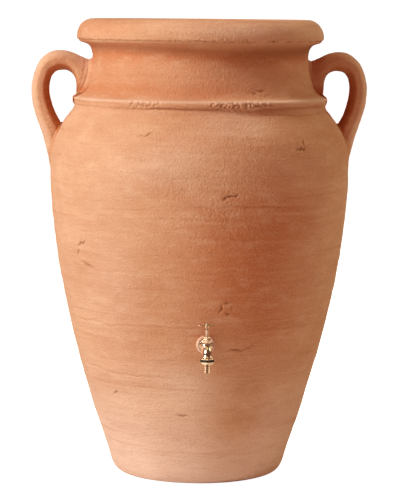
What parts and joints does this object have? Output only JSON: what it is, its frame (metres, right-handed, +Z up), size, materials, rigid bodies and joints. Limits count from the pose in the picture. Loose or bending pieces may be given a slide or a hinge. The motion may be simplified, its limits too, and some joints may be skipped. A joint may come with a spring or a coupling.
{
  "type": "rain barrel",
  "caption": "Tall amphora-shaped garden water barrel with a rolled rim, two ear handles, a recessed screw-down lid and a brass bib tap with a hose union.",
  "frame": {"origin": "centre of the flat base on the vessel's axis, on the ground", "axes": "+Z up the vessel's axis, -Y out through the tap, +X and -X out through the two handles"},
  "size_m": [0.8512, 0.7848, 1.15],
  "materials": {
    "terracotta_plastic": "matte, fine horizontal turning lines and sandy speckle, like unglazed terracotta",
    "lid_plastic": "matte moulded grain",
    "brass": "polished, pale",
    "rubber": "matte black",
    "fibre": "pressed fibre",
    "steel": "stainless, fine brushed"
  },
  "bodies": {
    "vessel": {"vessel_shell": "terracotta_plastic", "right_handle": "terracotta_plastic", "left_handle": "terracotta_plastic", "lid_insert_1": "brass", "lid_insert_2": "brass", "lid_insert_3": "brass", "boss_insert": "brass", "inlet_washer": "rubber", "tap_body": "brass", "bonnet": "brass", "bonnet_gasket": "fibre", "gland_packing": "fibre", "gland_nut": "brass"},
    "lid": {"lid_panel": "lid_plastic", "lid_seal": "rubber"},
    "lid_washer_1": {"lid_screw_washer_1": "steel"},
    "lid_washer_2": {"lid_screw_washer_2": "steel"},
    "lid_washer_3": {"lid_screw_washer_3": "steel"},
    "lid_fastener_1": {"lid_screw_1": "lid_plastic"},
    "lid_fastener_2": {"lid_screw_2": "lid_plastic"},
    "lid_fastener_3": {"lid_screw_3": "lid_plastic"},
    "valve_jumper": {"jumper": "brass", "jumper_washer": "rubber", "jumper_nut": "brass"},
    "valve_spindle": {"spindle": "brass", "tee_handle": "brass", "handle_screw": "steel"},
    "hose_connector": {"hose_tail": "brass", "union_washer": "rubber"},
    "coupling_nut": {"union_nut": "brass", "nut_grip_ring": "rubber"}
  },
  "joints": [
    {"name": "lid_lift", "type": "slide", "parent": "vessel", "child": "lid", "axis": [0, 0, 1], "range_m": [0, 0.18]},
    {"name": "lid_screw_rise_1", "type": "slide", "parent": "lid", "child": "lid_washer_1", "axis": [0, 0, 1], "range_m": [0, 0.00875]},
    {"name": "lid_screw_rise_2", "type": "slide", "parent": "lid", "child": "lid_washer_2", "axis": [0, 0, 1], "range_m": [0, 0.00875]},
    {"name": "lid_screw_rise_3", "type": "slide", "parent": "lid", "child": "lid_washer_3", "axis": [0, 0, 1], "range_m": [0, 0.00875]},
    {"name": "lid_screw_turn_1", "type": "hinge", "parent": "lid_washer_1", "child": "lid_fastener_1", "pos_m": [0, 0.251, 1.13], "axis": [0, 0, 1], "range_deg": [0, 2520]},
    {"name": "lid_screw_turn_2", "type": "hinge", "parent": "lid_washer_2", "child": "lid_fastener_2", "pos_m": [-0.21737, -0.1255, 1.13], "axis": [0, 0, 1], "range_deg": [0, 2520]},
    {"name": "lid_screw_turn_3", "type": "hinge", "parent": "lid_washer_3", "child": "lid_fastener_3", "pos_m": [0.21737, -0.1255, 1.13], "axis": [0, 0, 1], "range_deg": [0, 2520]},
    {"name": "jumper_lift", "type": "slide", "parent": "vessel", "child": "valve_jumper", "axis": [0, 0, 1], "range_m": [0, 0.0045]},
    {"name": "spindle_turn", "type": "hinge", "parent": "valve_jumper", "child": "valve_spindle", "pos_m": [0, -0.37, 0.4], "axis": [0, 0, 1], "range_deg": [0, 810]},
    {"name": "hose_tail_drop", "type": "slide", "parent": "vessel", "child": "hose_connector", "axis": [0, 0, -1], "range_m": [0, 0.00907]},
    {"name": "union_nut_turn", "type": "hinge", "parent": "hose_connector", "child": "coupling_nut", "pos_m": [0, -0.389, 0.34], "axis": [0, 0, -1], "range_deg": [0, 1800]}
  ],
  "couplings": [
    {"joint": "lid_screw_turn_1", "follows": "lid_screw_rise_1", "rad_per_m": 5026.5},
    {"joint": "lid_screw_turn_2", "follows": "lid_screw_rise_2", "rad_per_m": 5026.5},
    {"joint": "lid_screw_turn_3", "follows": "lid_screw_rise_3", "rad_per_m": 5026.5},
    {"joint": "spindle_turn", "follows": "jumper_lift", "rad_per_m": 3141.5},
    {"joint": "union_nut_turn", "follows": "hose_tail_drop", "rad_per_m": 3463.7}
  ]
}
